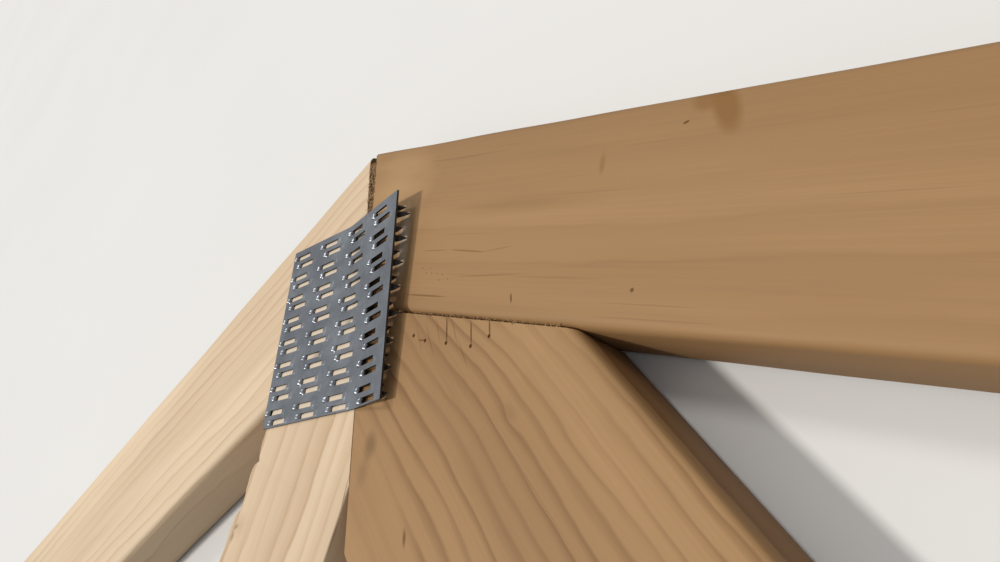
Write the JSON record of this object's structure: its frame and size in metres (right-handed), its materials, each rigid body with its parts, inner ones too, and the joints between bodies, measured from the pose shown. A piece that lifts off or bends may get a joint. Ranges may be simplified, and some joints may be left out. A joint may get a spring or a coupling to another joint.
{
  "type": "roof truss",
  "caption": "prefabricated softwood roof truss with overhanging top chords, sloping webs and punched steel nail plates over each joint, the plate at the apex half lifted",
  "frame": {"origin": "on the floor under the middle of the truss's box, as it lies on its back nail plates", "axes": "+X along the span towards the right eaves, +Y up the rise towards the peak, +Z out through the front face"},
  "size_m": [8.9, 1.9396, 0.0465],
  "materials": {
    "pine": "sawn and dressed softwood, bare",
    "galvanized_steel": "zinc-coated sheet steel, dull"
  },
  "bodies": {
    "root": {"top_chord_left": "pine", "top_chord_right": "pine", "bottom_chord_left": "pine", "bottom_chord_right": "pine", "web_left_1": "pine", "web_left_2": "pine", "web_left_3": "pine", "web_left_4": "pine", "web_right_1": "pine", "web_right_2": "pine", "web_right_3": "pine", "web_right_4": "pine", "plate_apex_front": "galvanized_steel", "plate_apex_back": "galvanized_steel", "plate_splice_front": "galvanized_steel", "plate_splice_back": "galvanized_steel", "plate_heel_left_front": "galvanized_steel", "plate_heel_left_back": "galvanized_steel", "plate_heel_right_front": "galvanized_steel", "plate_heel_right_back": "galvanized_steel", "plate_top_left_1_front": "galvanized_steel", "plate_top_left_1_back": "galvanized_steel", "plate_top_left_2_front": "galvanized_steel", "plate_top_left_2_back": "galvanized_steel", "plate_top_right_1_front": "galvanized_steel", "plate_top_right_1_back": "galvanized_steel", "plate_top_right_2_front": "galvanized_steel", "plate_top_right_2_back": "galvanized_steel", "plate_bottom_left_1_front": "galvanized_steel", "plate_bottom_left_1_back": "galvanized_steel", "plate_bottom_left_2_front": "galvanized_steel", "plate_bottom_left_2_back": "galvanized_steel", "plate_bottom_right_1_front": "galvanized_steel", "plate_bottom_right_1_back": "galvanized_steel", "plate_bottom_right_2_front": "galvanized_steel", "plate_bottom_right_2_back": "galvanized_steel"}
  },
  "joints": []
}
